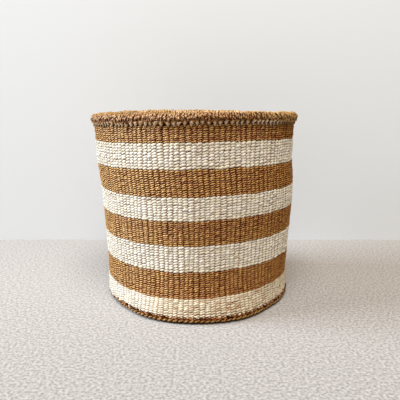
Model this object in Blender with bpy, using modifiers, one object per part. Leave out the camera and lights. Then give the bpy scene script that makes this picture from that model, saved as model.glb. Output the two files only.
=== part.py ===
"""A kiondo: a round sisal basket, twined in brown and cream bands, with a wrapped rim.

The basket stands on the plane z = 0 with its axis on +Z. Lengths are in metres.
Its warps are cords that cross in the middle of the base, turn up at the foot and end in the rim.
As the circle grows, new cords are looped round the old ones, so each warp forks twice in the base.
Each row of weft is a pair of strands twined round the warps: at every warp one strand lies outside
and one inside. So a band of rows is an outer lay and an inner lay, with the warps between them.
The real basket has twice as many warps, and each one here is a pair of them lying side by side.
"""

import math

import bmesh
import bpy
from mathutils import Matrix, Vector

# Yarn and cord
WARP_PAIRS = 64
WARP_THICKNESS = 0.0016
WARP_WIDTH = 0.0040
LAY = 0.0015  # one lay of weft strands
RIB_DEPTH = 0.0008  # how far the weft dips between two warps
GAP = 0.0003  # clearance between pieces that touch
SEAM = 0.00001  # merge distance

# Outer radius of the wall at its ends
FOOT_RADIUS = 0.1144
MOUTH_RADIUS = 0.1212

# How far the weft draws the wall in from a straight line between them
WAIST_DRAW = 0.0022
HIP_DRAW = 0.0026
BELLY_DRAW = 0.0007

# The bands of weft, from the foot up, and how they share the weave's height
WEAVE_HEIGHT = 0.2060
BANDS = (
    "cream_band_1",
    "brown_band_1",
    "cream_band_2",
    "brown_band_2",
    "cream_band_3",
    "brown_band_3",
    "cream_band_4",
    "brown_band_4",
)
BAND_SHARES = (0.108, 0.143, 0.142, 0.131, 0.122, 0.136, 0.131, 0.087)

# Base
FOOT_BULGE = 0.0008  # how far the foot row stands out from the wall
FOOT_ROUND = 0.0012
FOOT_LEG = 0.0070  # how far the foot row reaches in under the base
KNOT_RADIUS = 0.0060
KNOT_CROWN = 0.0008
HUB_RADIUS = 0.0125  # where the crossed cords part
FIRST_FORK = 0.0260
SECOND_FORK = 0.0500
FORK_LENGTH = 0.0080

# Rim
RIM_THICKNESS = 0.0118
RIM_CORE_THICKNESS = 0.0056
WRAP_RIB_DEPTH = 0.0007

# Facets
LAY_FACETS = WARP_PAIRS // 2  # where a lay is plain
KNOT_FACETS = 24
CORE_SIDES = 5
WRAP_OUTER_POINTS = 8
WRAP_INNER_POINTS = 5

# The points along a warp where it starts or forks
HUB, FORK_1, FORK_1_END, FORK_2, FORK_2_END = range(5)

# Worked out from the sizes above
WARP_STEP = math.tau / WARP_PAIRS
WARP_DEPTH = LAY + GAP + WARP_THICKNESS / 2  # from the outer face to the middle of a warp
INNER_LAY_DEPTH = LAY + WARP_THICKNESS + 2 * GAP
WALL_THICKNESS = INNER_LAY_DEPTH + LAY
BASE_THICKNESS = WALL_THICKNESS

YARNS = {
    "brown_sisal": ((0.40, 0.21, 0.085, 1.0), 0.70),
    "cream_sisal": ((0.80, 0.73, 0.60, 1.0), 0.75),
    "warp_sisal": ((0.36, 0.19, 0.075, 1.0), 0.80),
    "rim_sisal": ((0.46, 0.28, 0.125, 1.0), 0.70),
}


def clear_scene():
    for item in list(bpy.data.objects):
        bpy.data.objects.remove(item, do_unlink=True)


def yarn_material(name):
    colour, roughness = YARNS[name]
    material = bpy.data.materials.get(name) or bpy.data.materials.new(name)
    material.use_nodes = True
    shader = material.node_tree.nodes["Principled BSDF"]
    shader.inputs["Base Color"].default_value = colour
    shader.inputs["Roughness"].default_value = roughness
    shader.inputs["Metallic"].default_value = 0.0
    return material


def band_edges():
    """The bottom and top height of each band: the bands stand on each other with a gap."""
    edges = {}
    bottom = BASE_THICKNESS + GAP
    for name, share in zip(BANDS, BAND_SHARES):
        top = bottom + WEAVE_HEIGHT * share
        edges[name] = (bottom, top)
        bottom = top + GAP
    return edges


EDGES = band_edges()
WALL_TOP = EDGES["brown_band_4"][1]
FOOT_HEIGHT = BASE_THICKNESS / 2


def station(height, draw):
    """A height and the wall's outer radius there, drawn in from the line from foot to mouth."""
    up_share = (height - FOOT_HEIGHT) / (WALL_TOP - FOOT_HEIGHT)
    return height, FOOT_RADIUS + (MOUTH_RADIUS - FOOT_RADIUS) * up_share - draw


STATIONS = (
    station(FOOT_HEIGHT, 0),
    station(EDGES["cream_band_1"][1], WAIST_DRAW),
    station(EDGES["brown_band_1"][1], HIP_DRAW),
    station(EDGES["brown_band_2"][1], BELLY_DRAW),
    station(WALL_TOP, 0),
)
RIM_HEIGHT = WALL_TOP + GAP + RIM_THICKNESS / 2
WARP_TOP = RIM_HEIGHT - RIM_CORE_THICKNESS / 2 - GAP


def wall_radius(z):
    """The outer radius of the wall at a height: straight between stations and past the last."""
    for (low_z, low_r), (high_z, high_r) in zip(STATIONS, STATIONS[1:]):
        if z <= high_z:
            break
    return low_r + (high_r - low_r) * (z - low_z) / (high_z - low_z)


RIM_RADIUS = wall_radius((WALL_TOP + WARP_TOP) / 2) - WARP_DEPTH


def polygon(radius, sides, turn=0.5):
    """The corners of a regular polygon whose flats lie at a radius, turned by a share of a side."""
    corner = radius / math.cos(math.pi / sides)
    angles = [(k + turn) * math.tau / sides for k in range(sides)]
    return [(corner * math.cos(a), corner * math.sin(a)) for a in angles]


def ribbed_outline(radius):
    """A round outline that stands out over each warp and dips between two of them."""
    points = []
    for k in range(2 * WARP_PAIRS):
        r = radius - RIB_DEPTH * (k % 2)
        angle = k * WARP_STEP / 2
        points.append((r * math.cos(angle), r * math.sin(angle)))
    return points


def weld(mesh):
    work = bmesh.new()
    work.from_mesh(mesh)
    bmesh.ops.remove_doubles(work, verts=work.verts, dist=SEAM)
    work.to_mesh(mesh)
    work.free()


def evaluated_mesh(item):
    """The mesh that an object's curve or modifiers make. The object itself is removed."""
    bpy.context.scene.collection.objects.link(item)
    graph = bpy.context.evaluated_depsgraph_get()
    mesh = bpy.data.meshes.new_from_object(item.evaluated_get(graph))
    bpy.data.objects.remove(item)
    weld(mesh)
    return mesh


def extruded(outlines, bottom, top):
    """A mesh with flat faces at two heights, filled between closed outlines."""
    curve = bpy.data.curves.new("outline", "CURVE")
    curve.dimensions = "2D"
    curve.fill_mode = "BOTH"
    curve.extrude = (top - bottom) / 2
    for outline in outlines:
        spline = curve.splines.new("POLY")
        spline.points.add(len(outline) - 1)
        for point, (x, y) in zip(spline.points, outline):
            point.co = (x, y, 0, 1)
        spline.use_cyclic_u = True
    mesh = evaluated_mesh(bpy.data.objects.new("outline", curve))
    mesh.transform(Matrix.Translation((0, 0, (bottom + top) / 2)))
    return mesh


def turned(profile, steps, closed):
    """A mesh turned about the Z axis from a profile of (radius, height) points."""
    mesh = bpy.data.meshes.new("profile")
    edges = [(k, k + 1) for k in range(len(profile) - 1)]
    if closed:
        edges.append((len(profile) - 1, 0))
    mesh.from_pydata([(r, 0, z) for r, z in profile], edges, [])
    item = bpy.data.objects.new("profile", mesh)
    screw = item.modifiers.new("turn", "SCREW")
    screw.angle = math.tau
    screw.steps = steps
    screw.render_steps = steps
    screw.use_merge_vertices = True
    screw.merge_threshold = SEAM
    return evaluated_mesh(item)


def follow_wall(mesh, reference):
    """Moves a mesh that was drawn round a reference radius out to the wall's radius."""
    for vertex in mesh.vertices:
        flat = Vector((vertex.co.x, vertex.co.y, 0))
        vertex.co += flat.normalized() * (wall_radius(vertex.co.z) - reference)


def add_part(name, mesh, yarn):
    mesh.name = name
    mesh.materials.clear()
    mesh.materials.append(yarn_material(yarn))
    part = bpy.data.objects.new(name, mesh)
    BASKET.objects.link(part)
    part.parent = STAND
    return part


def smooth(part):
    part.data.shade_smooth()
    part.data.set_sharp_from_angle(angle=math.radians(35))


# The base
def add_base_knot():
    """The knot that binds the crossed cords in the middle of the base, on its upper side."""
    seat = BASE_THICKNESS / 2 + WARP_THICKNESS / 2 + GAP
    profile = (
        (0, BASE_THICKNESS + KNOT_CROWN),
        (KNOT_RADIUS / 2, BASE_THICKNESS + KNOT_CROWN),
        (KNOT_RADIUS, BASE_THICKNESS),
        (KNOT_RADIUS, seat),
        (0, seat),
    )
    smooth(add_part("base_knot", turned(profile, KNOT_FACETS, closed=False), "brown_sisal"))


def add_base_weft():
    """The weft of the base: an under lay that rests on the floor and an upper lay inside."""
    under = polygon(FOOT_RADIUS - FOOT_LEG - GAP, WARP_PAIRS)
    add_part("base_weft_under", extruded([under], 0, LAY), "brown_sisal")
    hole = KNOT_RADIUS + GAP
    outer = wall_radius(BASE_THICKNESS) - INNER_LAY_DEPTH
    # The upper lay dips at its edge, under the wall. Inside that the floor is flat and clear.
    wall_face = wall_radius(EDGES["cream_band_1"][1]) - INNER_LAY_DEPTH
    clear = wall_face * math.cos(math.pi / LAY_FACETS) - LAY - GAP
    profile = (
        (hole, BASE_THICKNESS),
        (clear, BASE_THICKNESS),
        (outer, BASE_THICKNESS - GAP),
        (outer, INNER_LAY_DEPTH),
        (hole, INNER_LAY_DEPTH),
    )
    add_part("base_weft_upper", turned(profile, WARP_PAIRS, closed=True), "brown_sisal")


def add_foot_row():
    """The stout row where the base turns up into the wall. It wraps the corner from below."""
    outer = FOOT_RADIUS + FOOT_BULGE
    corner_share = 1 / math.cos(WARP_STEP / 2)
    flats = (
        (FOOT_RADIUS - LAY, BASE_THICKNESS),
        (outer - FOOT_ROUND, BASE_THICKNESS),
        (outer, BASE_THICKNESS - FOOT_ROUND),
        (outer, FOOT_ROUND),
        (outer - FOOT_ROUND, 0),
        (FOOT_RADIUS - FOOT_LEG, 0),
        (FOOT_RADIUS - FOOT_LEG, LAY),
        (FOOT_RADIUS - LAY, LAY),
    )
    profile = [(r * corner_share, z) for r, z in flats]
    row = add_part("foot_row", turned(profile, WARP_PAIRS, closed=True), "brown_sisal")
    row.rotation_euler.z = WARP_STEP / 2
    smooth(row)


# The warps
def warp_edge(work, warp, radius, height):
    """The two points across a warp at a radius. The warp's number gives its direction."""
    turn = Matrix.Rotation(warp * WARP_STEP, 3, "Z")
    sides = (-WARP_WIDTH / 2, WARP_WIDTH / 2)
    return [work.verts.new(turn @ Vector((radius, side, height))) for side in sides]


def first_point(warp):
    """Where a warp starts: every fourth one at the hub, those halfway at the first fork."""
    if warp % 4 == 0:
        return HUB
    return FORK_1_END if warp % 2 == 0 else FORK_2_END


def warp_path():
    """Radius and height along the middle of a warp, from the hub to the rim."""
    middle = BASE_THICKNESS / 2
    path = [(HUB_RADIUS, middle)]
    for fork in (FIRST_FORK, SECOND_FORK):
        path += [(fork, middle), (fork + FORK_LENGTH, middle)]
    path += [(wall_radius(z) - WARP_DEPTH, z) for z, _ in STATIONS[:-1]]
    path.append((wall_radius(WARP_TOP) - WARP_DEPTH, WARP_TOP))
    return path


def join_fork(work, edges, old, new, point):
    """The loop of a new cord round an old one: a strip from the old warp's side to the new."""
    near = edges[old, point][1]
    far = edges[old, point + 1][1]
    left, right = edges[new, point + 1]
    work.faces.new((near, right, left, far))


def add_warps():
    """All the warps in one piece: a hub of crossed cords, forks in the base, stakes in the wall."""
    path = warp_path()
    work = bmesh.new()
    edges = {}
    for warp in range(WARP_PAIRS):
        for point in range(first_point(warp), len(path)):
            here = warp_edge(work, warp, *path[point])
            below = edges.get((warp, point - 1))
            if below:
                work.faces.new((*below, here[1], here[0]))
            edges[warp, point] = here
    for warp in range(2, WARP_PAIRS, 4):
        join_fork(work, edges, warp - 2, warp, FORK_1)
    for warp in range(1, WARP_PAIRS, 2):
        join_fork(work, edges, warp - 1, warp, FORK_2)
    work.faces.new([v for warp in range(0, WARP_PAIRS, 4) for v in edges[warp, HUB]])
    bmesh.ops.recalc_face_normals(work, faces=work.faces)
    mesh = bpy.data.meshes.new("warps")
    work.to_mesh(mesh)
    work.free()
    warps = add_part("warps", mesh, "warp_sisal")
    thicken = warps.modifiers.new("cord", "SOLIDIFY")
    thicken.thickness = WARP_THICKNESS
    thicken.offset = 0
    thicken.use_even_offset = True


# The wall
def add_band(name):
    """A band of weft: a ribbed lay outside the warps and a plain lay inside them."""
    bottom, top = EDGES[name]
    yarn = "cream_sisal" if name.startswith("cream") else "brown_sisal"
    reference = MOUTH_RADIUS
    outlines = [ribbed_outline(reference), polygon(reference - LAY, LAY_FACETS, turn=0)]
    outer = extruded(outlines, bottom, top)
    follow_wall(outer, reference)
    smooth(add_part(name + "_outer_lay", outer, yarn))
    # The inner lay has fewer sides than there are warps, so its corners are what clears them.
    face = (reference - INNER_LAY_DEPTH) * math.cos(math.pi / LAY_FACETS)
    inner = extruded([polygon(face, LAY_FACETS), polygon(face - LAY, LAY_FACETS)], bottom, top)
    follow_wall(inner, reference)
    smooth(add_part(name + "_inner_lay", inner, yarn))


# The rim
def arc(radius, half_slit, count):
    """Points round the rim's section, from one side of the slit below it to the other."""
    open_angle = math.asin(half_slit / radius)
    start = -math.pi / 2 - open_angle
    turn = math.tau - 2 * open_angle
    angles = [start - turn * k / (count - 1) for k in range(count)]
    return [
        (RIM_RADIUS + radius * math.cos(a), RIM_HEIGHT + radius * math.sin(a)) for a in angles
    ]


def add_rim_core():
    """The bundle of turned-over warp ends inside the rim."""
    bpy.ops.mesh.primitive_torus_add(
        major_segments=WARP_PAIRS,
        minor_segments=CORE_SIDES,
        major_radius=RIM_RADIUS,
        minor_radius=RIM_CORE_THICKNESS / 2,
        location=(0, 0, RIM_HEIGHT),
    )
    core = bpy.context.object
    for collection in core.users_collection:
        collection.objects.unlink(core)
    BASKET.objects.link(core)
    core.name = "rim_core"
    core.parent = STAND
    core.data.materials.append(yarn_material("warp_sisal"))
    smooth(core)


def add_rim_wrap():
    """The yarn wound round the rim, turn by turn, open below where the warps come in."""
    half_slit = WARP_THICKNESS / 2 + GAP
    flat_share = math.cos(math.pi / (WRAP_INNER_POINTS - 1))
    facet = RIM_RADIUS * (1 - math.cos(WARP_STEP / 2))
    inside = (RIM_CORE_THICKNESS / 2 + GAP + facet) / flat_share
    profile = arc(RIM_THICKNESS / 2, half_slit, WRAP_OUTER_POINTS)
    profile += reversed(arc(inside, half_slit, WRAP_INNER_POINTS))
    mesh = turned(profile, 2 * WARP_PAIRS, closed=True)
    middle = (RIM_THICKNESS / 2 + inside) / 2
    for vertex in mesh.vertices:
        turn = math.atan2(vertex.co.y, vertex.co.x)
        centre = Vector((math.cos(turn), math.sin(turn), 0)) * RIM_RADIUS
        centre.z = RIM_HEIGHT
        reach = vertex.co - centre
        if reach.length > middle and round(2 * turn / WARP_STEP) % 2:
            vertex.co -= reach.normalized() * WRAP_RIB_DEPTH
    smooth(add_part("rim_wrap", mesh, "rim_sisal"))


clear_scene()
BASKET = bpy.data.collections.new("kiondo_basket")
bpy.context.scene.collection.children.link(BASKET)
STAND = bpy.data.objects.new("basket_origin", None)
BASKET.objects.link(STAND)

add_base_knot()
add_base_weft()
add_foot_row()
add_warps()
for band in BANDS:
    add_band(band)
add_rim_core()
add_rim_wrap()
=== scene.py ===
"""The looks of a kiondo: a round basket of twined sisal in brown and cream bands.

Every strand is modelled. The warps run from the middle of the base up to the rim, each row of weft
is a pair of strands that change places between two warps, and the rim is wound with yarn.
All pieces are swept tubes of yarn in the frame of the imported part, in metres, with +Z up.
Angles round the basket count from the front, -Y, towards +X.
"""

import math

import bpy
import numpy as np
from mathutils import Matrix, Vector


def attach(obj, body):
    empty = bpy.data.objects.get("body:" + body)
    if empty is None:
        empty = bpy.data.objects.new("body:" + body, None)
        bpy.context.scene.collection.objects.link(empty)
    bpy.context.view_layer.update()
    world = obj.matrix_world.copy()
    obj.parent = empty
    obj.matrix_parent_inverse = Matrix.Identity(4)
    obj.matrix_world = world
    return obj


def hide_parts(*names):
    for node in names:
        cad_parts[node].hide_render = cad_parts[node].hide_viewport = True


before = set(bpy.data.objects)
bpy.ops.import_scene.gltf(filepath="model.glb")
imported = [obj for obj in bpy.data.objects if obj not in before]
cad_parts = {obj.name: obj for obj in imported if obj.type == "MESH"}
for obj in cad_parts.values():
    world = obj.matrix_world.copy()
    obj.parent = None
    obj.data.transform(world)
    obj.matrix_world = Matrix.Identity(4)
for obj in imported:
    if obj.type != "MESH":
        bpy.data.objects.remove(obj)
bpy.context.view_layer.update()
bpy.ops.object.select_all(action="DESELECT")

# ---------------------------------------------------------------------------------------------
# Warps. Cords of twisted sisal, dyed brown. They cross in the middle of the base, run out through
# it, turn up at the foot and run up through the wall into the rim. As the circle grows new cords
# are looped round the old ones, so their number doubles three times.
# ---------------------------------------------------------------------------------------------
WARPS = 128
WARP_RADIUS = 0.00085
WARP_STARTS = ((8, 0.0030), (4, 0.0100), (2, 0.0260), (1, 0.0520))  # every so many warps, from here
WARP_LOOP = 0.0060  # a new cord leaves its neighbour over this length
BASE_MIDDLE = 0.0026
FOOT_BEND = 0.0022  # radius of the turn from base to wall
WALL_MIDDLE_DEPTH = 0.0026  # from the face of the wall to the middle of the warps
WARP_TOP = 0.2180
WARP_SPACING = 0.0050  # of the points along a warp
# Each set of yarn colours: the painted shade in the hollows, the mid tone and the light tone.
WARP_BROWNS = ((0.030, 0.006, 0.001), (0.18, 0.060, 0.012), (0.42, 0.20, 0.07))

YARN_SIDES = 6
WARP_STEP = math.tau / WARPS


def ease(value, start, end):
    """0 below start, 1 above end, and a smooth rise between them."""
    share = np.clip((value - start) / (end - start), 0, 1)
    return share * share * (3 - 2 * share)


def unevenness(seed, rounds, rise, reach):
    """A smooth pattern over the basket that closes on itself: a sum of waves of given reach.

    rounds is the range of how many waves go round, and rise is the shortest wave up the wall.
    """
    pick = np.random.default_rng(seed)
    count = 8
    around = pick.integers(rounds[0], rounds[1] + 1, count)
    upward = pick.uniform(-1, 1, count) * math.tau / rise
    start = pick.uniform(0, math.tau, count)

    def pattern(turn, height):
        turn, height = np.broadcast_arrays(turn, height)
        waves = np.sin(turn[..., None] * around + height[..., None] * upward + start)
        return reach * waves.sum(-1) / math.sqrt(count / 2)

    return pattern


def lay_edges(node):
    """The height and the outer radius of a CAD band at its lower and its upper edge."""
    points = np.array([v.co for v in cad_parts[node].data.vertices])
    radii = np.hypot(points[:, 0], points[:, 1])
    low, high = points[:, 2].min(), points[:, 2].max()
    middle = (low + high) / 2
    return (low, radii[points[:, 2] < middle].max()), (high, radii[points[:, 2] > middle].max())


BANDS = [
    name + "_" + str(number) for number in (1, 2, 3, 4) for name in ("cream_band", "brown_band")
]
BAND_EDGES = {band: lay_edges(band + "_outer_lay") for band in BANDS}
WALL_TOP = BAND_EDGES["brown_band_4"][1][0]
wall_radius = np.polynomial.Polynomial.fit(
    *zip(*[edge for edges in BAND_EDGES.values() for edge in edges]), deg=4
)

FOOT_MIDDLE = BASE_MIDDLE + FOOT_BEND  # height of the turn's middle, and its radius
FOOT_RADIUS = wall_radius(FOOT_MIDDLE) - WALL_MIDDLE_DEPTH - FOOT_BEND

SOFT_HEIGHT = 0.040  # the foot is round, and the wall is as uneven as it gets from here up
dent = unevenness(seed=3, rounds=(2, 7), rise=0.150, reach=0.00045)
small_dent = unevenness(seed=4, rounds=(14, 40), rise=0.030, reach=0.00018)
warp_wander = unevenness(seed=5, rounds=(9, 40), rise=0.080, reach=0.09)
row_wander = unevenness(seed=6, rounds=(5, 30), rise=0.040, reach=0.00022)

FOOT_BULGE = 0.0072  # how far the soft foot is pushed out at the front
BULGE_FRONT = (0.64, 0.98)  # cosines of the angles at which the bulge starts and is full
BULGE_HEIGHT = 0.050
BULGE_LIFT = 0.45  # the rows rise by this share of the bulge
SAG_HEIGHTS = (0.005, 0.028, 0.057, 0.087)
SAG_REACHES = (0.0000, 0.0028, 0.0008, 0.0000)
SAG_START = math.radians(46)
TILTS = (0.0007, 0.0015)  # of a row, once round and twice round
TILT_DOWN = 0.0009  # of the whole row
TILT_FULL = 0.110  # height from which rows are tilted all they are
TILT_STARTS = ((0.090, 0.190), (-20, 50))  # heights, and the angles where the tilt starts there
WANDER_HEIGHT = 0.020
LEAN = 0.0028
LEAN_HEIGHTS = (0.130, 0.180)
STRAIGHT_HEIGHT = 0.010  # the warps are evenly spaced below it


def row_lift(turn, height):
    """How far a row rises and dips on its way round: the rows were beaten down by hand."""
    phase = np.radians(np.interp(height, *TILT_STARTS))
    tilt = TILTS[0] * np.sin(turn) + TILTS[1] * np.sin(2 * turn + phase) - TILT_DOWN
    sag = np.interp(height, SAG_HEIGHTS, SAG_REACHES) * np.sin(2 * turn - SAG_START)
    sag = sag + BULGE_LIFT * ease(height, 0, SAG_HEIGHTS[1]) * foot_bulge(turn, height)
    wander = ease(height, 0, WANDER_HEIGHT) * row_wander(turn, height)
    return ease(height, 0, TILT_FULL) * tilt + sag + wander


def foot_bulge(turn, height):
    """How far the soft foot is pushed out at the front."""
    return FOOT_BULGE * ease(np.cos(turn), *BULGE_FRONT) * (1 - ease(height, 0, BULGE_HEIGHT))


def lean(height):
    """The soft wall leans a little to the left in its upper third."""
    return -LEAN * ease(height, *LEAN_HEIGHTS)


def bulged(radius, turn):
    """A radius in the base, pushed out with the foot: more, the nearer it is to the foot."""
    return radius + foot_bulge(turn, 0) * (radius / wall_radius(0.0)) ** 3


def warp_turn(steps, warps, height):
    """The direction of a warp, counted in steps from the back. Warps aren't evenly spaced."""
    turn = math.pi + steps * math.tau / warps
    return turn + warp_wander(turn, height) * WARP_STEP * ease(height, 0, STRAIGHT_HEIGHT)


def on_wall(turn, height, depth):
    """Points at a depth outwards from the middle of the wall, and the way outwards there."""
    soft = ease(height, 0, SOFT_HEIGHT)
    radius = wall_radius(height) - WALL_MIDDLE_DEPTH + depth
    radius = radius + soft * (dent(turn, height) + small_dent(turn, height))
    radius = radius + foot_bulge(turn, height)
    lifted = height + row_lift(turn, height)
    points = np.stack(
        [radius * np.sin(turn) + lean(height), -radius * np.cos(turn), lifted], axis=-1
    )
    return points, np.stack([np.sin(turn), -np.cos(turn), 0 * turn], axis=-1)


def tube(line, outs, high, deep, tone, shade, closed=True):
    """A strand swept along a line, with an oval section: high across it, deep along outs."""
    count, sides = len(line), YARN_SIDES
    if closed:
        ahead = np.roll(line, -1, axis=0) - np.roll(line, 1, axis=0)
    else:
        ahead = np.gradient(line, axis=0)
    ahead = ahead / np.linalg.norm(ahead, axis=1, keepdims=True)
    across = np.cross(outs, ahead)
    across = across / np.linalg.norm(across, axis=1, keepdims=True)
    lift = np.cross(ahead, across)
    angles = (np.arange(sides) + 0.5) * math.tau / sides
    high, deep, tone, shade = (np.broadcast_to(x, count) for x in (high, deep, tone, shade))
    edge = np.abs(np.cos(angles)) / math.cos(math.pi / sides)
    rings = line[:, None, :] + across[:, None, :] * (high[:, None] * np.cos(angles))[..., None]
    rings = rings + lift[:, None, :] * (deep[:, None] * np.sin(angles))[..., None]
    lengths = np.linalg.norm(np.diff(line, axis=0, append=line[:1]), axis=1)
    run = np.concatenate([[0], np.cumsum(lengths)])
    return {
        "rings": rings,
        "run": run,
        "closed": closed,
        "tone": np.repeat(tone, sides),
        "shade": np.repeat(shade, sides),
        "edge": np.tile(edge, count),
    }


YARN_SHIFT = 0.137  # in metres, so that no two strands show the same stretch of yarn


def strand_mesh(name, tubes):
    """One object of many strands, with what their finish needs.

    The UV map holds the length along a strand and the turn round it. tone is how pale the yarn is,
    shade how much painted shade it gets, mostly where it dips between two warps, and edge is 1
    where it lies against the next row, where shade is painted too.
    """
    corners, faces, uvs = [], [], []
    labels = {"tone": [], "shade": [], "edge": []}
    first, start = 0, 0.0
    for strand in tubes:
        count, sides = strand["rings"].shape[:2]
        spans = np.arange(count if strand["closed"] else count - 1)[:, None]
        side = np.arange(sides)[None, :]
        near, far = spans * sides, ((spans + 1) % count) * sides
        turned = (side + 1) % sides
        quads = np.stack([near + side, near + turned, far + turned, far + side], axis=-1)
        faces += (quads.reshape(-1, 4) + first).tolist()
        begin = np.broadcast_to((strand["run"][spans] + start), quads.shape[:2])
        end = np.broadcast_to((strand["run"][spans + 1] + start), quads.shape[:2])
        low, high = (np.broadcast_to((side + k) / sides, quads.shape[:2]) for k in (0, 1))
        u = np.stack([begin, begin, end, end], axis=-1)
        v = np.stack([low, high, high, low], axis=-1)
        uvs.append(np.stack([u, v], axis=-1).reshape(-1, 2))
        if not strand["closed"]:
            ring = np.arange(sides)
            faces.append((first + ring[::-1]).tolist())
            faces.append((first + (count - 1) * sides + ring).tolist())
            for place, order in ((0, ring[::-1]), (count - 1, ring)):
                along = np.full(sides, strand["run"][place] + start)
                uvs.append(np.stack([along, order / sides], axis=-1))
        corners.append(strand["rings"].reshape(-1, 3))
        for label, values in labels.items():
            values.append(strand[label])
        first += count * sides
        start += YARN_SHIFT
    mesh = bpy.data.meshes.new(name)
    mesh.from_pydata(np.concatenate(corners).tolist(), [], faces)
    layer = mesh.uv_layers.new(name="UVMap")
    layer.data.foreach_set("uv", np.concatenate(uvs).astype(np.float32).ravel())
    for label, values in labels.items():
        attribute = mesh.attributes.new(label, "FLOAT", "POINT")
        attribute.data.foreach_set("value", np.concatenate(values).astype(np.float32))
    mesh.shade_smooth()
    piece = bpy.data.objects.new(name, mesh)
    bpy.context.scene.collection.objects.link(piece)
    return piece


FIBRES = (4.5, 3.0, 0.6)  # scale, detail and roughness of the streaks across a strand
FIBRE_STRETCH = 60.0  # of the streaks along it: their scale per metre
PLY_BUMP = (0.8, 0.00030)  # strength and height
FIBRE_BUMP = 0.9  # of that height
STREAK_REACH, STREAK_START = 3.0, 1.4  # how pale a streak is, beside the tone
BLEACH_AND_PAINTED_LIGHT = (1.0, 0.83, 0.72, 1.0)  # where the tone is over 1 the yarn is near white: dye that has hardly taken, and on the rim painted light
BLEACH_AND_PAINTED_LIGHT_SHARE = 0.65
BLEACH_AND_PAINTED_LIGHT_RISE = 2.5
YARN_IOR = 2.1
SHEEN_TINT = (1.0, 0.88, 0.64, 1.0)
SHEEN_ROUGHNESS = 0.35
SHEEN_SHARE = 0.15  # of the gloss
FLANK_SHADE = 0.5  # of shade, where a strand lies against the next
DIP_POWER = 2.2


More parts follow.
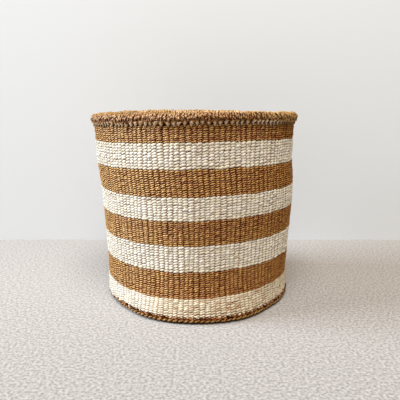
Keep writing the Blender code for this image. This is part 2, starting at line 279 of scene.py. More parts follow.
def sisal(name, colours, shine, glossy, roughness, twist, dark_edges, dark_dips, dark_plies):
    """Sisal yarn: fine streaks of fibre that wind round the strand, two plies, uneven dye.

    colours are the painted shade, the mid tone and the light tone. shine is the colour of its
    gloss, glossy how strong that is, and twist is turns per metre. Shade is painted into the colour
    where strands meet, where they dip and between the plies: dark_edges, dark_dips and dark_plies
    say how much.
    """
    painted_shade_colour, mid, light = [(*colour, 1.0) for colour in colours]
    material = bpy.data.materials.new(name)
    material.use_nodes = True
    tree = material.node_tree
    shader = tree.nodes["Principled BSDF"]
    shader.inputs["Roughness"].default_value = roughness
    shader.inputs["Specular Tint"].default_value = (*shine, 1.0)
    shader.inputs["Sheen Tint"].default_value = SHEEN_TINT
    shader.inputs["IOR"].default_value = YARN_IOR
    shader.inputs["Sheen Roughness"].default_value = SHEEN_ROUGHNESS

    def math_node(operation, *values, clamp=False):
        node = tree.nodes.new("ShaderNodeMath")
        node.operation = operation
        node.use_clamp = clamp
        for socket, value in zip(node.inputs, values):
            if isinstance(value, bpy.types.NodeSocket):
                tree.links.new(value, socket)
            else:
                socket.default_value = value
        return node.outputs[0]

    def mixed(factor, first, second):
        node = tree.nodes.new("ShaderNodeMix")
        node.data_type = "RGBA"
        tree.links.new(factor, node.inputs["Factor"])
        for socket, value in ((node.inputs[6], first), (node.inputs[7], second)):
            if isinstance(value, bpy.types.NodeSocket):
                tree.links.new(value, socket)
            else:
                socket.default_value = value
        return node.outputs[2]

    def attribute(label):
        node = tree.nodes.new("ShaderNodeAttribute")
        node.attribute_name = label
        return node.outputs["Fac"]

    yarn = tree.nodes.new("ShaderNodeUVMap")
    yarn.uv_map = "UVMap"
    parts = tree.nodes.new("ShaderNodeSeparateXYZ")
    tree.links.new(yarn.outputs["UV"], parts.inputs[0])
    along, around = parts.outputs["X"], parts.outputs["Y"]
    winding = math_node("MULTIPLY_ADD", along, twist, around)
    angle = math_node("MULTIPLY", winding, math.tau)
    cosine, sine = math_node("COSINE", angle), math_node("SINE", angle)
    stretched = math_node("MULTIPLY", along, FIBRE_STRETCH)
    fibre_place = tree.nodes.new("ShaderNodeCombineXYZ")
    for socket, value in zip(fibre_place.inputs, (cosine, sine, stretched)):
        tree.links.new(value, socket)
    fibres = tree.nodes.new("ShaderNodeTexNoise")
    for label, value in zip(("Scale", "Detail", "Roughness"), FIBRES):
        fibres.inputs[label].default_value = value
    tree.links.new(fibre_place.outputs[0], fibres.inputs["Vector"])
    streak = fibres.outputs["Fac"]

    plies = math_node("ABSOLUTE", sine)
    bump = tree.nodes.new("ShaderNodeBump")
    bump.inputs["Strength"].default_value, bump.inputs["Distance"].default_value = PLY_BUMP
    tree.links.new(math_node("MULTIPLY_ADD", streak, FIBRE_BUMP, plies), bump.inputs["Height"])
    tree.links.new(bump.outputs[0], shader.inputs["Normal"])

    tone, edge, shade = attribute("tone"), attribute("edge"), attribute("shade")
    dye = math_node("SUBTRACT", tone, STREAK_START)
    lightness = math_node("MULTIPLY_ADD", streak, STREAK_REACH, dye, clamp=True)
    bleach_and_painted_light = math_node("MULTIPLY_ADD", tone, BLEACH_AND_PAINTED_LIGHT_RISE, -BLEACH_AND_PAINTED_LIGHT_RISE, clamp=True)
    palest = [
        (1 - BLEACH_AND_PAINTED_LIGHT_SHARE) * value + BLEACH_AND_PAINTED_LIGHT_SHARE * white
        for value, white in zip(light, BLEACH_AND_PAINTED_LIGHT)
    ]
    dyed = mixed(bleach_and_painted_light, mixed(lightness, mid, light), palest)
    # Painted shade: darker between rows, in the grooves between the plies and where strands dip.
    # The gloss is taken out there too.
    flanks = math_node("POWER", edge, 2.0)
    flank_shade = math_node("MULTIPLY_ADD", shade, FLANK_SHADE, dark_edges)
    painted_row_shade = math_node("MULTIPLY", flanks, flank_shade)
    grooves = math_node("POWER", math_node("SUBTRACT", 1.0, plies), 2.0)
    painted_shade_share = math_node("MULTIPLY_ADD", grooves, dark_plies, painted_row_shade)
    dips = math_node("POWER", shade, DIP_POWER)
    painted_shade_share = math_node("MULTIPLY_ADD", dips, dark_dips, painted_shade_share, clamp=True)
    tree.links.new(mixed(painted_shade_share, dyed, painted_shade_colour), shader.inputs["Base Color"])
    gloss = math_node("MULTIPLY_ADD", painted_shade_share, -glossy, glossy)
    tree.links.new(gloss, shader.inputs["Specular IOR Level"])
    tree.links.new(math_node("MULTIPLY", gloss, SHEEN_SHARE), shader.inputs["Sheen Weight"])
    return material


def warp_line(warp):
    """A warp's line: out through the base, round the foot and up through the wall.

    Those whose number divides by the most start furthest in. The others leave a neighbour.
    """
    every, start = next(row for row in WARP_STARTS if warp % row[0] == 0)
    radii = np.arange(start, FOOT_RADIUS, WARP_SPACING)
    turn = warp_turn(float(warp), WARPS, 0.0)
    joined = every * WARP_STEP * (1 - ease(radii, start, start + WARP_LOOP))
    turns = turn - joined * (start > WARP_STARTS[0][1])
    radii = bulged(radii, turns)
    flat = np.stack(
        [radii * np.sin(turns), -radii * np.cos(turns), np.full(len(radii), BASE_MIDDLE)], axis=-1
    )
    bends = np.radians((-90, -60, -30))
    radii = FOOT_RADIUS + FOOT_BEND * np.cos(bends) + foot_bulge(turn, 0)
    heights = FOOT_MIDDLE + FOOT_BEND * np.sin(bends)
    bend = np.stack([radii * np.sin(turn), -radii * np.cos(turn), heights], axis=-1)
    heights = np.arange(FOOT_MIDDLE, WARP_TOP, WARP_SPACING)
    turns = warp_turn(np.full(len(heights), float(warp)), WARPS, heights)
    upright, _ = on_wall(turns, heights, 0.0)
    line = np.concatenate([flat, bend, upright])
    sideways = np.array([math.cos(turn), math.sin(turn), 0.0])
    return line, np.broadcast_to(sideways, line.shape)


WARP_TONE, WARP_TONES = 0.5, 0.12  # their mean and how much they differ
# a little painted shade on the cords
WARP_SHADE = 0.3

pick = np.random.default_rng(11)
warp_sisal = sisal(
    "warp_cord", WARP_BROWNS, (1.0, 0.7, 0.4), glossy=0.4, roughness=0.80, twist=160,
    dark_edges=0.2, dark_dips=0.5, dark_plies=0.5
)
warp_tubes = []
for warp in range(WARPS):
    line, outs = warp_line(warp)
    tone = WARP_TONE + WARP_TONES * pick.normal()
    warp_tubes.append(tube(line, outs, WARP_RADIUS, WARP_RADIUS, tone, WARP_SHADE, closed=False))
warps = strand_mesh("warp_cords", warp_tubes)
warps.data.materials.append(warp_sisal)
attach(warps, "root")
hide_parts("warps")

# ---------------------------------------------------------------------------------------------
# Base weft. Rows of brown sisal twined flat round the warps, from the knot out to the foot. The
# number of warps grows on the way, so the stitches stay about as long.
# ---------------------------------------------------------------------------------------------
BASE_PITCH = 0.0026
BASE_START = 0.0055  # radius inside which there are no rows, only the knot
BASE_PARTS = ("base_weft_middle", "base_weft_ring", "base_weft_edge")
BASE_PARTS_AT = (19, 30)  # the rows with which the second and the third part start
POINTS_PER_STITCH = 4
STRAND_REACH = 0.00165  # of a strand's middle from the middle of the warps, over a warp
CROSS_SHARE = 0.21  # of the pitch that a strand stands above or below its row where it crosses
CROWN_HIGH, CROSS_HIGH = 0.54, 0.32  # half a strand's height as a share of the pitch
CROWN_DEEP, CROSS_DEEP = 0.00095, 0.00190  # half a strand's thickness
STITCH_JITTER = 0.00024
STITCH_SWELL = 0.14
CROSS_JITTER = 0.06  # of a step, in where the two strands cross
YARN_TONE = 0.45
ROW_TONES, STRAND_TONES, STITCH_TONES = 0.10, 0.08, 0.24  # how much rows and so on differ
STITCH_SHADES = 0.3
PAINTED_SHADE_BELOW = -0.3  # yarn that is darker than this also gets painted shade, by the next value
PAINTED_SHADE_REACH = 1.5
BASE_FLATNESS = 0.92  # of the rows, beside those of the wall
BASE_END = 0.1  # of the pitch, from the foot to the last row
LOWEST = 0.00002  # the strands' lowest height
BROWNS = ((0.080, 0.009, 0.0002), (0.50, 0.100, 0.002), (0.88, 0.45, 0.060))

brown_sisal = sisal(
    "brown_yarn", BROWNS, (1.0, 0.94, 0.72), glossy=1.0, roughness=0.48, twist=170,
    dark_edges=0.98, dark_dips=1.50, dark_plies=0.50
)


def twined_row(spot, warps, pitch, pick, hand=1, stout=1.0, slant=CROSS_SHARE, paler=0.0):
    """One row of weft: two strands that change places between each pair of warps.

    spot gives the points of the row and the way outwards there, from the place in steps, the height
    above its middle and the depth. Each strand rises where it lies outside a warp, so its stitches
    slant, one way for each hand.
    """
    steps = np.arange(warps * POINTS_PER_STITCH) / POINTS_PER_STITCH
    nearest = np.rint(steps).astype(int) % warps
    row_tone = ROW_TONES * pick.normal()
    slip = CROSS_JITTER * pick.normal(0, 1, warps)[np.floor(steps).astype(int)]
    tubes = []
    for strand in (0, 1):
        wave = math.pi * (steps + strand)
        crown = np.cos(wave)
        over = crown * crown
        nudge, lift, swell, shift = pick.normal(0, 1, (4, warps))[:, nearest] * over
        depth = stout * STRAND_REACH * crown + STITCH_JITTER * nudge
        height = hand * slant * pitch * np.sin(wave) + STITCH_JITTER * lift
        plump = 1 + STITCH_SWELL * swell
        share = np.sqrt(over)
        high = pitch * (CROSS_HIGH + (CROWN_HIGH - CROSS_HIGH) * share) * plump
        deep = (CROSS_DEEP + (CROWN_DEEP - CROSS_DEEP) * share) * stout * plump
        line, outs = spot(steps + slip * (1 - over), height, depth)
        tone = YARN_TONE + paler + row_tone + STRAND_TONES * pick.normal() + STITCH_TONES * shift
        # Painted shade: where the strand dips between warps, on some stitches at random, and all
        # along a row that is made much darker.
        painted_shade = STITCH_SHADES * shift - PAINTED_SHADE_REACH * (paler - PAINTED_SHADE_BELOW)
        shade = np.maximum(1 - share, painted_shade)
        tubes.append(tube(line, outs, high, deep, tone, shade))
    return tubes


def base_row(radius, pick):
    """A flat row round the base at a radius."""
    every = next(every for every, start in reversed(WARP_STARTS) if radius >= start)
    warps = WARPS // every

    def spot(steps, height, depth):
        turn = warp_turn(steps, warps, 0.0)
        ring = bulged(radius, turn) + height
        z = BASE_MIDDLE - BASE_FLATNESS * depth
        points = np.stack([ring * np.sin(turn), -ring * np.cos(turn), z], axis=-1)
        return points, np.broadcast_to((0.0, 0.0, -1.0), points.shape)

    return twined_row(spot, warps, BASE_PITCH, pick)


def pressed_flat(tubes):
    """The strands, pressed flat where they would reach below the floor."""
    for strand in tubes:
        strand["rings"][..., 2] = np.maximum(strand["rings"][..., 2], LOWEST)
    return tubes


pick = np.random.default_rng(12)
base_rows = np.arange(FOOT_RADIUS - BASE_END * BASE_PITCH, BASE_START, -BASE_PITCH)[::-1]
for name, radii in zip(BASE_PARTS, np.array_split(base_rows, BASE_PARTS_AT)):
    base_tubes = []
    for radius in radii:
        base_tubes += base_row(radius, pick)
    base_weft = strand_mesh(name, pressed_flat(base_tubes))
    base_weft.data.materials.append(brown_sisal)
    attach(base_weft, "root")
    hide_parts("base_weft_under", "base_weft_upper")

# ---------------------------------------------------------------------------------------------
# Base knot. The strand that binds the crossed cords in the middle of the base, woven over and
# under itself into a small rosette on the inside, with two and a half flat turns below.
# ---------------------------------------------------------------------------------------------
KNOT_LOBES = 5
KNOT_TURNS = 3
KNOT_RING = 0.0034
KNOT_SWING = 0.0017
KNOT_STRAND = 0.00080
KNOT_HEIGHT = 0.0049
KNOT_WEAVE = 0.00045  # how far it rises and dips
KNOT_POINTS = 160
COIL_HEIGHT = 0.0011
COIL_TURNS = 2.6
COIL_START, COIL_REACH = 0.0012, 0.0042  # radius and how much it grows
COIL_POINTS = 60

share = np.linspace(0, math.tau, KNOT_POINTS, endpoint=False)
ring = KNOT_RING + KNOT_SWING * np.cos(KNOT_LOBES * share)
weave = KNOT_HEIGHT + KNOT_WEAVE * np.sin(2 * KNOT_LOBES * share)
rosette = np.stack(
    [ring * np.sin(KNOT_TURNS * share), -ring * np.cos(KNOT_TURNS * share), weave], axis=-1
)
share = np.linspace(0, 1, COIL_POINTS)
turn = share * COIL_TURNS * math.tau
ring = COIL_START + COIL_REACH * share
coil = np.stack(
    [ring * np.sin(turn), -ring * np.cos(turn), np.full(COIL_POINTS, COIL_HEIGHT)], axis=-1
)
upwards = np.broadcast_to((0.0, 0.0, 1.0), rosette.shape)
downwards = np.broadcast_to((0.0, 0.0, -1.0), coil.shape)
# Both strands of the knot get a little painted shade.
knot = strand_mesh(
    "base_rosette",
    [
        tube(rosette, upwards, KNOT_STRAND, KNOT_STRAND, tone=0.55, shade=0.1),
        tube(coil, downwards, KNOT_STRAND, KNOT_STRAND, tone=0.45, shade=0.1, closed=False),
    ],
)
knot.data.materials.append(brown_sisal)
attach(knot, "root")
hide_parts("base_knot")

# ---------------------------------------------------------------------------------------------
# Foot row. Rows of stouter brown yarn round the turn from the base to the wall. The two that are
# seen are twined opposite ways, so that their stitches meet like a plait. The third lies below.
# ---------------------------------------------------------------------------------------------
FOOT_ROWS = (  # angle, hand, pitch, stoutness, paler
    # paler below -0.3 darkens the yarn: the row below gets painted shade, and the upper row is made
    # darker
    (-72, 1, 0.0027, 1.00, -0.60),
    (-17, 1, 0.0032, 1.25, 0.10),
    (17, -1, 0.0028, 1.30, -0.72),
)
FOOT_BROWNS = ((0.040, 0.009, 0.001), (0.45, 0.130, 0.008), (0.80, 0.45, 0.13))
FOOT_SLANT = 0.38
FOOT_RISE = 0.0007  # the foot stands a little off the floor
FOOT_SHADOW = (0.0014, 0.0026)  # painted shadow: the yarn of the foot is darkened below these heights, where it meets the floor
FOOT_TUCK = 0.0016  # at the left the foot lies under the wall
FOOT_TUCK_SIDE = (0.75, 0.95)  # how far to the left that starts, and where it is full


def foot_row(angle, hand, pitch, stout, paler, pick):
    """A row round the foot, at an angle on the bend from straight out, which is 0."""
    out = np.array([math.cos(math.radians(angle)), math.sin(math.radians(angle))])
    up = np.array([-out[1], out[0]])
    middle = np.array([FOOT_RADIUS, FOOT_MIDDLE]) + FOOT_BEND * out + (0, FOOT_RISE)

    def spot(steps, height, depth):
        turn = warp_turn(steps, WARPS, 0.0)
        radius, z = (middle[k] + height * up[k] + depth * out[k] for k in (0, 1))
        tuck = FOOT_TUCK * ease(-np.sin(turn), *FOOT_TUCK_SIDE)
        radius = radius + foot_bulge(turn, 0) - tuck
        points = np.stack([radius * np.sin(turn), -radius * np.cos(turn), z], axis=-1)
        outs = np.stack(
            [out[0] * np.sin(turn), -out[0] * np.cos(turn), np.full(len(turn), out[1])], axis=-1
        )
        return points, outs

    return twined_row(spot, WARPS, pitch, pick, hand, stout, FOOT_SLANT, paler)


foot_sisal = sisal(
    "foot_yarn", FOOT_BROWNS, (1.0, 0.9, 0.75), glossy=0.5, roughness=0.60, twist=170,
    dark_edges=0.90, dark_dips=1.05, dark_plies=0.50
)
pick = np.random.default_rng(13)
foot_tubes = pressed_flat([strand for row in FOOT_ROWS for strand in foot_row(*row, pick)])
# Painted shadow on the foot's yarn near the floor.
for strand in foot_tubes:
    painted_shade = 1 - ease(strand["rings"][..., 2].ravel(), *FOOT_SHADOW)
    strand["shade"] = np.maximum(strand["shade"], painted_shade)
foot = strand_mesh("foot_plait", foot_tubes)
foot.data.materials.append(foot_sisal)
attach(foot, "root")
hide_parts("foot_row")

# ---------------------------------------------------------------------------------------------
# Wall. Eight bands of twined sisal, by turns natural cream and dyed brown. Each row covers the
# warps outside and inside, and its stitches all slant the same way.
# ---------------------------------------------------------------------------------------------
ROWS = {
    "cream_band_1": 9,
    "brown_band_1": 12,
    "cream_band_2": 10,
    "brown_band_2": 12,
    "cream_band_3": 9,
    "brown_band_3": 12,
    "cream_band_4": 9,
    "brown_band_4": 8,
}
CREAMS = ((0.34, 0.140, 0.020), (0.76, 0.695, 0.55), (0.775, 0.75, 0.72))
cream_sisal = sisal(
    "cream_yarn", CREAMS, (1.0, 0.98, 0.95), glossy=0.10, roughness=0.55, twist=110,
    dark_edges=0.06, dark_dips=0.95, dark_plies=0.06
)
YARNS = {"brown": brown_sisal, "cream": cream_sisal}
LOW_BAND_PAINTED_SHADE = 0.52  # painted shade: how much darker the lowest band is, apart from its left side
PAINTED_SHADE_SIDE = (0.25, 0.60)  # how far to the left the painted shade starts to fade, and where it is gone
PAINTED_LIGHT_LEFT, PAINTED_SHADE_RIGHT = 0.22, 0.04  # painted light and shade: how much paler the brown is at the left, and darker at the right
PAINTED_LIGHT_SIDE = (-0.2, 1.0)
LAST_ROW = 0.4  # one more row lies under the rim, this share of the pitch above the wall
# painted shadow of the roll on that last row
LAST_ROW_SHADOW = 0.75


def wall_row(row_height, pitch, paler, pick):
    """A row round the wall at a height."""

    def spot(steps, height, depth):
        turn = warp_turn(steps, WARPS, row_height)
        return on_wall(turn, row_height + height, depth)

    return twined_row(spot, WARPS, pitch, pick, paler=paler)


steps = np.arange(WARPS * POINTS_PER_STITCH) / POINTS_PER_STITCH
left = -np.sin(warp_turn(steps, WARPS, 0.0))
painted_shade = -LOW_BAND_PAINTED_SHADE * (1 - ease(left, *PAINTED_SHADE_SIDE))
painted_side_light = PAINTED_LIGHT_LEFT * ease(left, *PAINTED_LIGHT_SIDE) - PAINTED_SHADE_RIGHT
pick = np.random.default_rng(14)
for band in BANDS:
    yarn = band.split("_")[0]
    (bottom, _), (top, _) = BAND_EDGES[band]
    pitch = (top - bottom) / ROWS[band]
    band_tubes = []
    # The brown is painted paler at the left as light, and the lowest band gets painted shade.
    paler = painted_side_light if yarn == "brown" else 0.0
    if band == BANDS[0]:
        paler = painted_shade
    for row in range(ROWS[band]):
        band_tubes += wall_row(bottom + pitch * (row + 0.5), pitch, paler, pick)
    if band == BANDS[-1]:
        band_tubes += wall_row(top + pitch * LAST_ROW, pitch, -LAST_ROW_SHADOW, pick)
    weft = strand_mesh(band.replace("band", "weft"), band_tubes)
    weft.data.materials.append(YARNS[yarn])
    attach(weft, "root")
    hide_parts(band + "_outer_lay", band + "_inner_lay")

# ---------------------------------------------------------------------------------------------
# Rim core. The ends of the warps, turned over and twisted into one bundle round the mouth. It is
# seen only between the turns of the wrapping.
# ---------------------------------------------------------------------------------------------
RIM_HEIGHT = 0.2202
RIM_HALF_WIDTH = 0.0053  # to the middle of the yarn on it
RIM_HALF_HEIGHT = 0.0046
CORE_STRANDS = 7
CORE_RADIUS = 0.0012
CORE_INSET = 0.0021  # of its strands' middles from the middle of the yarn round them
CORE_TWISTS = 14  # round the whole mouth
CORE_POINTS = 4 * WARPS
# the core's tone, and a little painted shade on it
CORE_TONE, CORE_SHADE = 0.5, 0.1

RIM_RADIUS = float(wall_radius(WALL_TOP)) - WALL_MIDDLE_DEPTH


def on_rim(turn, out, up):
    """Points beside the middle of the rim: so far outwards and so far up."""
    radius = RIM_RADIUS + dent(turn, WALL_TOP) + out
    z = RIM_HEIGHT + row_lift(turn, WALL_TOP) + up
    return np.stack([radius * np.sin(turn) + lean(RIM_HEIGHT), -radius * np.cos(turn), z], axis=-1)


share = np.arange(CORE_POINTS) / CORE_POINTS
turn = math.pi + math.tau * share
core_tubes = []
for strand in range(CORE_STRANDS):
    around = math.tau * (strand / CORE_STRANDS + CORE_TWISTS * share)
    out = (RIM_HALF_WIDTH - CORE_INSET) * np.cos(around)
    up = (RIM_HALF_HEIGHT - CORE_INSET) * np.sin(around)
    line = on_rim(turn, out, up)
    outs = line - on_rim(turn, 0, 0)
    core_tubes.append(tube(line, outs, CORE_RADIUS, CORE_RADIUS, CORE_TONE, CORE_SHADE))
core = strand_mesh("rim_bundle", core_tubes)
core.data.materials.append(warp_sisal)
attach(core, "root")
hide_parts("rim_core")

# ---------------------------------------------------------------------------------------------
# Rim wrap. Loose brown sisal wound over the bundle and through the top of the wall, one turn for
# each warp. The fibres of a turn spread over the roll and draw together where they go in.
# ---------------------------------------------------------------------------------------------
WRAP_STRANDS = (  # place in steps, slide along a turn in steps, and stoutness
    (-0.30, 0.60, 1.0),
    (0.20, 0.60, 1.0),
    (-0.05, -0.60, 1.0),
    (0.45, -0.60, 1.0),
)
WRAP_WEAVE = 0.22  # how far a strand dips under the others, as a share of the roll
WRAP_DIPS = 5.5  # dips in a full turn round the roll
WRAP_POINTS = 24  # along a turn
WRAP_SLANT = 0.45
WRAP_HIGH, WRAP_DEEP = 0.00115, 0.00085
PIERCE_HEIGHT = WALL_TOP - 0.0002
PIERCE_DEPTH = WALL_MIDDLE_DEPTH + 0.0007
PIERCE_JITTER = 0.0007
PIERCE_STEPS = (0.85, 1.0)  # where the strand goes in and comes out
# a painted highlight on the drops where the strand goes in and comes out, and no painted shade
# there
PIERCE_TONES = (1.5, 0.8)
PIERCE_SHADES = (-1.2, 0.0)
REACH_SPREAD = 0.05
FAN_SPREAD, FAN_MOST = 0.5, 1.1
PLACE_SPREAD, SLIDE_SPREAD, POINT_SPREAD = 0.10, 0.30, 0.03  # in steps
SLIDE_MIDDLE = 0.4  # of a step: a strand slides to both sides of it
STOUT_SPREAD, STOUT_WEAVE = 0.12, 0.35  # by chance, and where the strand is on top
# tone from strand to strand, and painted light where a strand lies on top and painted shade where
# it dips under
TONE_SPREAD, WEAVE_PAINTED_SHADING = 0.15, 0.40
WRAP_TONE = -0.18
PALE_LIGHT = 1.2  # where the strand is pale it gets no painted shade
PALE_SIDE = (0.2, 0.8)  # painted light: how far to the right the wrap starts to get paler, and is palest
PALE_SIDE_TONE = 0.75
MOST_TONE, LOST_TONE = 2.0, 1.1  # the painted highlight on the drops below the roll fades at the right of the front
LOST_SIDE = (0.60, 0.85)
RIM_BROWNS = ((0.050, 0.008, 0.0003), (0.31, 0.090, 0.004), (0.72, 0.43, 0.14))

rim_sisal = sisal(
    "rim_yarn", RIM_BROWNS, (1.0, 0.85, 0.66), glossy=0.75, roughness=0.50, twist=170,
    dark_edges=0.85, dark_dips=0.50, dark_plies=0.60
)

# One turn of the wrap, seen along the rim: angle round the roll from straight out, reach from its
# middle as a share of its half width and height, how far along the turn, how far the strands
# spread, how stout they are and how much paler. It goes into the wall at its ends. The paler column
# paints light and shade: a painted highlight on the drops where the turn goes in, painted shade
# just above them, and painted light on the top and inside of the roll.
WRAP_TURN = (
    (-62, 1.22, 0.03, 0.05, 1.70, 1.80),
    (-50, 1.24, 0.06, 0.08, 1.65, 1.80),
    (-42, 1.10, 0.09, 0.30, 1.10, -0.60),
    (-30, 1.00, 0.13, 0.90, 0.90, -0.50),
    (0, 1.00, 0.19, 1.00, 1.00, 0.00),
    (60, 1.00, 0.31, 1.00, 1.00, 0.08),
    (100, 1.00, 0.41, 1.00, 1.00, 0.68),
    (185, 1.00, 0.58, 0.95, 1.00, 1.00),
    (215, 1.05, 0.64, 0.75, 0.90, 0.40),
    (240, 1.30, 0.70, 0.20, 1.00, 0.30),
)


def wrap_strand(place, slide, stout, pick):
    """A strand of the wrap: one closed line that goes round the roll once for each warp.

    It dips under the others and comes up again, so that only short bits of it are seen.
    """

    def each(reach, count=1):
        return reach * pick.normal(0, 1, (WARPS, count))

    angles, *rows = np.array(WRAP_TURN).T
    angle = np.linspace(angles[0], angles[-1], WRAP_POINTS)
    reach, along, fan, stoutness, paler = (np.interp(angle, angles, row) for row in rows)
    bent = np.radians(angle)
    warp = np.arange(WARPS)[:, None] + 0.5
    up_here = np.cos(WRAP_DIPS * bent + pick.uniform(0, math.tau, (WARPS, 1)))
    away = reach * (1 + each(REACH_SPREAD)) * (1 + WRAP_WEAVE * fan * (up_here - 0.5) / 2)
    fan = np.clip(fan * (1 + each(FAN_SPREAD)), 0, FAN_MOST)
    offset = place + each(PLACE_SPREAD) + (slide + each(SLIDE_SPREAD)) * (along - SLIDE_MIDDLE)
    offset = offset + each(POINT_SPREAD, WRAP_POINTS)
    step = warp + WRAP_SLANT * along + offset * fan
    thick = stout * stoutness * (1 + each(STOUT_SPREAD) + STOUT_WEAVE * fan * up_here)
    tone = WRAP_TONE + each(TONE_SPREAD) + paler + WEAVE_PAINTED_SHADING * fan * up_here
    tone = tone + each(TONE_SPREAD, WRAP_POINTS)
    # Painted shade where the strand dips under the others, none where it is pale.
    painted_under_shade = np.clip(-up_here * fan, 0, 1) - PALE_LIGHT * np.clip(paler, 0, 1)

    def with_ends(values, *ends):
        """The values along each turn, and those where the strand goes in and comes out."""
        ends = [np.broadcast_to(end, (WARPS, 1)) for end in ends]
        return np.concatenate([values, *ends], axis=1).ravel()

    step = with_ends(step, *(warp + further for further in PIERCE_STEPS))
    out = with_ends(RIM_HALF_WIDTH * away * np.cos(bent), -PIERCE_DEPTH, PIERCE_DEPTH)
    pierced = [PIERCE_HEIGHT - RIM_HEIGHT + each(PIERCE_JITTER) for _ in PIERCE_STEPS]
    up = with_ends(RIM_HALF_HEIGHT * away * np.sin(bent), *pierced)
    high = with_ends(WRAP_HIGH * thick, WRAP_HIGH, WRAP_HIGH)
    turn = warp_turn(step, WARPS, WALL_TOP)
    line = on_rim(turn, out, up)
    outs = line - on_rim(turn, 0, -0.001)
    shade = with_ends(painted_under_shade, *PIERCE_SHADES)
    right, front = np.sin(turn), np.cos(turn) > 0
    tone = with_ends(tone, *PIERCE_TONES) + PALE_SIDE_TONE * ease(right, *PALE_SIDE)
    tone = np.minimum(tone, MOST_TONE - LOST_TONE * ease(right, *LOST_SIDE) * front)
    return tube(line, outs, high, WRAP_DEEP * stout, tone, shade)


pick = np.random.default_rng(15)
wrap = strand_mesh("rim_winding", [wrap_strand(*strand, pick) for strand in WRAP_STRANDS])
wrap.data.materials.append(rim_sisal)
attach(wrap, "root")
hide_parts("rim_wrap")

# ---------------------------------------------------------------------------------------------
# Stage. A pale floor and a pale wall behind it, which the yarn doesn't mirror, a soft light from
# the left like a window's, a weaker one from above the front, and warm light from all round.
# ---------------------------------------------------------------------------------------------
STAGE_SIZE = 8
WALL_PLACE = 0.218
FLOOR_COLOUR = (0.405, 0.383, 0.383)
BACK_COLOUR = (0.68, 0.705, 0.755)
FLECK_SCALE, FLECK_DETAIL = 360, 2
FLECK_RANGE = (0.35, 0.65)  # of the noise
FLECK_REACH = 0.28  # how much darker and paler than the floor the flecks are
FLOOR_SHADE = (-0.34, 0.0, 0.80, 1.0)  # two places from front to back, and the floor's painted shade at each
AIM = (0, 0, 0.10)


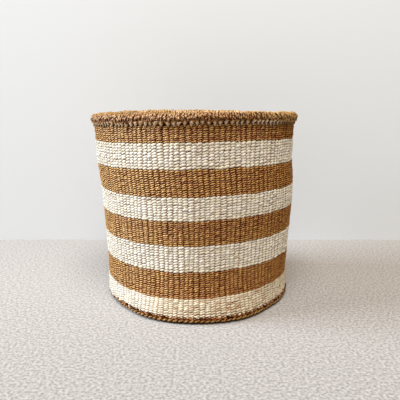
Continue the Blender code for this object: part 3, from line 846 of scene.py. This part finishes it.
def stage_material(name, colour, see_through_back):
    """A matt surface. The floor has a fine fleck and is painted darker towards the front as shade,
    and the wall is seen only from the front.
    """
    material = bpy.data.materials.new(name)
    material.use_nodes = True
    tree = material.node_tree
    shader = tree.nodes["Principled BSDF"]
    shader.inputs["Roughness"].default_value = 0.95
    place = tree.nodes.new("ShaderNodeTexCoord")
    fleck = tree.nodes.new("ShaderNodeTexNoise")
    fleck.inputs["Scale"].default_value = FLECK_SCALE
    fleck.inputs["Detail"].default_value = FLECK_DETAIL
    tree.links.new(place.outputs["Object"], fleck.inputs["Vector"])
    strong = tree.nodes.new("ShaderNodeMapRange")
    strong.inputs["From Min"].default_value, strong.inputs["From Max"].default_value = FLECK_RANGE
    tree.links.new(fleck.outputs["Fac"], strong.inputs["Value"])
    tint = tree.nodes.new("ShaderNodeMix")
    tint.data_type = "RGBA"
    reach = 0.0 if see_through_back else FLECK_REACH
    tint.inputs[6].default_value = (*[c * (1 - reach) for c in colour], 1)
    tint.inputs[7].default_value = (*[c * (1 + reach) for c in colour], 1)
    tree.links.new(strong.outputs[0], tint.inputs["Factor"])
    tree.links.new(tint.outputs[2], shader.inputs["Base Color"])
    if not see_through_back:
        parts = tree.nodes.new("ShaderNodeSeparateXYZ")
        tree.links.new(place.outputs["Object"], parts.inputs[0])
        painted_floor_shade = tree.nodes.new("ShaderNodeMapRange")
        for socket, value in zip(list(painted_floor_shade.inputs)[1:5], FLOOR_SHADE):
            socket.default_value = value
        tree.links.new(parts.outputs["Y"], painted_floor_shade.inputs["Value"])
        darker = tree.nodes.new("ShaderNodeVectorMath")
        darker.operation = "SCALE"
        tree.links.new(tint.outputs[2], darker.inputs[0])
        tree.links.new(painted_floor_shade.outputs[0], darker.inputs["Scale"])
        tree.links.new(darker.outputs[0], shader.inputs["Base Color"])
    if see_through_back:
        geometry = tree.nodes.new("ShaderNodeNewGeometry")
        clear = tree.nodes.new("ShaderNodeBsdfTransparent")
        either = tree.nodes.new("ShaderNodeMixShader")
        tree.links.new(geometry.outputs["Backfacing"], either.inputs[0])
        tree.links.new(shader.outputs[0], either.inputs[1])
        tree.links.new(clear.outputs[0], either.inputs[2])
        tree.links.new(either.outputs[0], tree.nodes["Material Output"].inputs["Surface"])
    return material


bpy.ops.mesh.primitive_plane_add(size=STAGE_SIZE, location=(0, 0, 0))
floor = bpy.context.object
floor.name = "floor"
floor.data.materials.append(stage_material("pale_floor", FLOOR_COLOUR, see_through_back=False))
floor.visible_glossy = False

bpy.ops.mesh.primitive_plane_add(
    size=STAGE_SIZE, location=(0, WALL_PLACE, STAGE_SIZE / 2), rotation=(math.pi / 2, 0, 0)
)
back = bpy.context.object
back.name = "back_wall"
back.data.materials.append(stage_material("pale_wall", BACK_COLOUR, see_through_back=True))
back.visible_shadow = False
back.visible_diffuse = False
back.visible_glossy = False
back.visible_transmission = False


def soft_lamp(name, place, size, power, colour):
    """A square soft light at a place, turned to the basket."""
    lamp = bpy.data.lights.new(name, "AREA")
    lamp.color = colour
    lamp.size = size
    lamp.energy = power
    item = bpy.data.objects.new(name, lamp)
    item.location = place
    item.rotation_euler = (Vector(AIM) - Vector(place)).to_track_quat("-Z", "Y").to_euler()
    bpy.context.scene.collection.objects.link(item)


soft_lamp("window", (-3.08, -0.20, 1.70), size=1.7, power=184, colour=(0.79, 0.905, 1.0))
soft_lamp("room", (0.08, -0.85, 2.00), size=1.0, power=46, colour=(1.0, 0.96, 0.90))

world = bpy.data.worlds.new("room")
world.use_nodes = True
world.node_tree.nodes["Background"].inputs["Color"].default_value = (1.0, 0.86, 0.58, 1)
world.node_tree.nodes["Background"].inputs["Strength"].default_value = 0.46
bpy.context.scene.world = world
world.cycles_visibility.glossy = False  # the yarn shines only towards the lamps

lens = bpy.data.cameras.new("camera")
lens.lens = 44.0
lens.sensor_width = 36.0
camera = bpy.data.objects.new("camera", lens)
camera.location = (0.0034, -0.6120, 0.2332)
camera.rotation_euler = (math.radians(78.96), 0, 0)
bpy.context.scene.collection.objects.link(camera)
bpy.context.scene.camera = camera
bpy.context.scene.view_settings.view_transform = "Standard"
